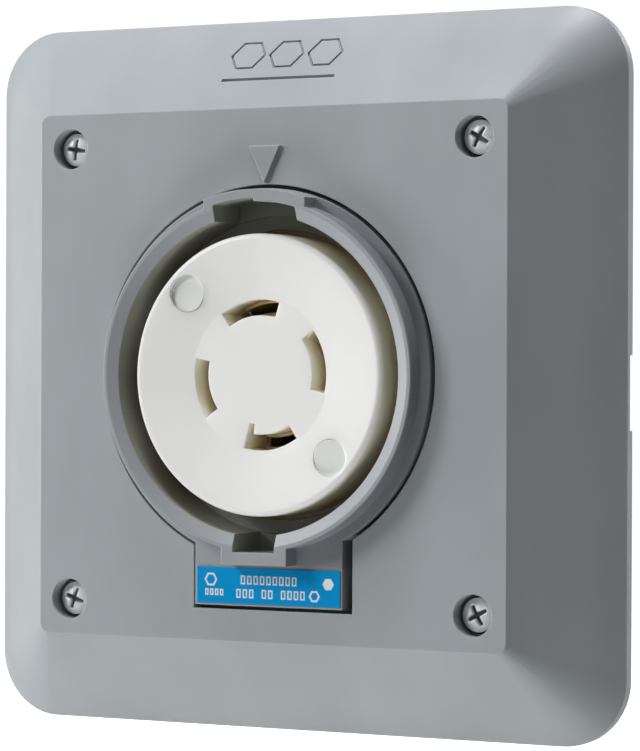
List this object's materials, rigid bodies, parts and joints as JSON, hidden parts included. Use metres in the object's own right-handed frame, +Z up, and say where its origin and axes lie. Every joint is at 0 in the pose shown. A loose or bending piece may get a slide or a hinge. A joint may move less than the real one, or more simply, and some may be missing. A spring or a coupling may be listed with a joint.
{
  "type": "locking power receptacle on cover plate",
  "caption": "Flush locking power receptacle with curved blade slots in a keyed round shroud, on a bevelled square cover plate that screws to a two-gang box.",
  "frame": {"origin": "centre of the plate's rear plane, in the middle of the four cover screws", "axes": "+Y into the box, +Z up, +X right as seen from the front; the receptacle faces -Y"},
  "size_m": [0.14, 0.0382, 0.14],
  "materials": {
    "plate_plastic": "fine moulded grain",
    "shroud_plastic": "satin",
    "nose_plastic": "satin",
    "base_plastic": "satin",
    "rubber": "matte",
    "label_film": "printed film",
    "zinc_steel": "bright zinc plate",
    "brass": "as rolled",
    "green_screw": "green passivated"
  },
  "bodies": {
    "receptacle_unit": {"cover_plate": "plate_plastic", "box_gasket": "rubber", "shroud_housing": "shroud_plastic", "shroud_seal": "rubber", "rating_label": "label_film", "receptacle_face": "nose_plastic", "face_seal": "rubber", "face_plugs": "nose_plastic", "receptacle_base": "base_plastic", "rear_cover": "base_plastic", "rear_cover_screws": "zinc_steel", "assembly_screws": "zinc_steel", "assembly_nuts": "zinc_steel", "mounting_strap": "zinc_steel", "strap_screws": "zinc_steel", "line_contact_x": "brass", "line_contact_y": "brass", "line_contact_z": "brass", "ground_contact": "brass", "contact_springs": "zinc_steel"},
    "clamp_x": {"terminal_clamp_x": "zinc_steel"},
    "terminal_x": {"terminal_screw_x": "brass"},
    "clamp_y": {"terminal_clamp_y": "zinc_steel"},
    "terminal_y": {"terminal_screw_y": "brass"},
    "clamp_z": {"terminal_clamp_z": "zinc_steel"},
    "terminal_z": {"terminal_screw_z": "brass"},
    "clamp_ground": {"terminal_clamp_ground": "zinc_steel"},
    "terminal_ground": {"terminal_screw_ground": "green_screw"},
    "seal_top_left": {"screw_seal_top_left": "rubber"},
    "screw_top_left": {"cover_screw_top_left": "zinc_steel"},
    "seal_top_right": {"screw_seal_top_right": "rubber"},
    "screw_top_right": {"cover_screw_top_right": "zinc_steel"},
    "seal_bottom_left": {"screw_seal_bottom_left": "rubber"},
    "screw_bottom_left": {"cover_screw_bottom_left": "zinc_steel"},
    "seal_bottom_right": {"screw_seal_bottom_right": "rubber"},
    "screw_bottom_right": {"cover_screw_bottom_right": "zinc_steel"}
  },
  "joints": [
    {"name": "clamp_x_travel", "type": "slide", "parent": "receptacle_unit", "child": "clamp_x", "axis": [-0.165, 0, 0.9863], "range_m": [0, 0.00317]},
    {"name": "terminal_x_turn", "type": "hinge", "parent": "clamp_x", "child": "terminal_x", "pos_m": [-0.00362, 0.008, 0.0216], "axis": [-0.165, 0, 0.9863], "range_deg": [0, 1440]},
    {"name": "clamp_y_travel", "type": "slide", "parent": "receptacle_unit", "child": "clamp_y", "axis": [0.9799, 0, 0.1994], "range_m": [0, 0.00317]},
    {"name": "terminal_y_turn", "type": "hinge", "parent": "clamp_y", "child": "terminal_y", "pos_m": [0.02146, 0.008, 0.00437], "axis": [0.9799, 0, 0.1994], "range_deg": [0, 1440]},
    {"name": "clamp_z_travel", "type": "slide", "parent": "receptacle_unit", "child": "clamp_z", "axis": [-0.9816, 0, -0.1908], "range_m": [0, 0.00317]},
    {"name": "terminal_z_turn", "type": "hinge", "parent": "clamp_z", "child": "terminal_z", "pos_m": [-0.0215, 0.008, -0.00418], "axis": [-0.9816, 0, -0.1908], "range_deg": [0, 1440]},
    {"name": "clamp_ground_travel", "type": "slide", "parent": "receptacle_unit", "child": "clamp_ground", "axis": [0.1736, 0, -0.9848], "range_m": [0, 0.00317]},
    {"name": "terminal_ground_turn", "type": "hinge", "parent": "clamp_ground", "child": "terminal_ground", "pos_m": [0.0038, 0.008, -0.02157], "axis": [0.1736, 0, -0.9848], "range_deg": [0, 1440]},
    {"name": "seal_top_left_travel", "type": "slide", "parent": "receptacle_unit", "child": "seal_top_left", "axis": [0, -1, 0], "range_m": [0, 0.00635]},
    {"name": "screw_top_left_turn", "type": "hinge", "parent": "seal_top_left", "child": "screw_top_left", "pos_m": [-0.04485, -0.0132, 0.04485], "axis": [0, -1, 0], "range_deg": [0, 2880]},
    {"name": "seal_top_right_travel", "type": "slide", "parent": "receptacle_unit", "child": "seal_top_right", "axis": [0, -1, 0], "range_m": [0, 0.00635]},
    {"name": "screw_top_right_turn", "type": "hinge", "parent": "seal_top_right", "child": "screw_top_right", "pos_m": [0.04485, -0.0132, 0.04485], "axis": [0, -1, 0], "range_deg": [0, 2880]},
    {"name": "seal_bottom_left_travel", "type": "slide", "parent": "receptacle_unit", "child": "seal_bottom_left", "axis": [0, -1, 0], "range_m": [0, 0.00635]},
    {"name": "screw_bottom_left_turn", "type": "hinge", "parent": "seal_bottom_left", "child": "screw_bottom_left", "pos_m": [-0.04485, -0.0132, -0.04485], "axis": [0, -1, 0], "range_deg": [0, 2880]},
    {"name": "seal_bottom_right_travel", "type": "slide", "parent": "receptacle_unit", "child": "seal_bottom_right", "axis": [0, -1, 0], "range_m": [0, 0.00635]},
    {"name": "screw_bottom_right_turn", "type": "hinge", "parent": "seal_bottom_right", "child": "screw_bottom_right", "pos_m": [0.04485, -0.0132, -0.04485], "axis": [0, -1, 0], "range_deg": [0, 2880]}
  ],
  "couplings": [
    {"joint": "terminal_x_turn", "follows": "clamp_x_travel", "rad_per_m": 7915.8},
    {"joint": "terminal_y_turn", "follows": "clamp_y_travel", "rad_per_m": 7915.8},
    {"joint": "terminal_z_turn", "follows": "clamp_z_travel", "rad_per_m": 7915.8},
    {"joint": "terminal_ground_turn", "follows": "clamp_ground_travel", "rad_per_m": 7915.8},
    {"joint": "screw_top_left_turn", "follows": "seal_top_left_travel", "rad_per_m": 7915.8},
    {"joint": "screw_top_right_turn", "follows": "seal_top_right_travel", "rad_per_m": 7915.8},
    {"joint": "screw_bottom_left_turn", "follows": "seal_bottom_left_travel", "rad_per_m": 7915.8},
    {"joint": "screw_bottom_right_turn", "follows": "seal_bottom_right_travel", "rad_per_m": 7915.8}
  ]
}
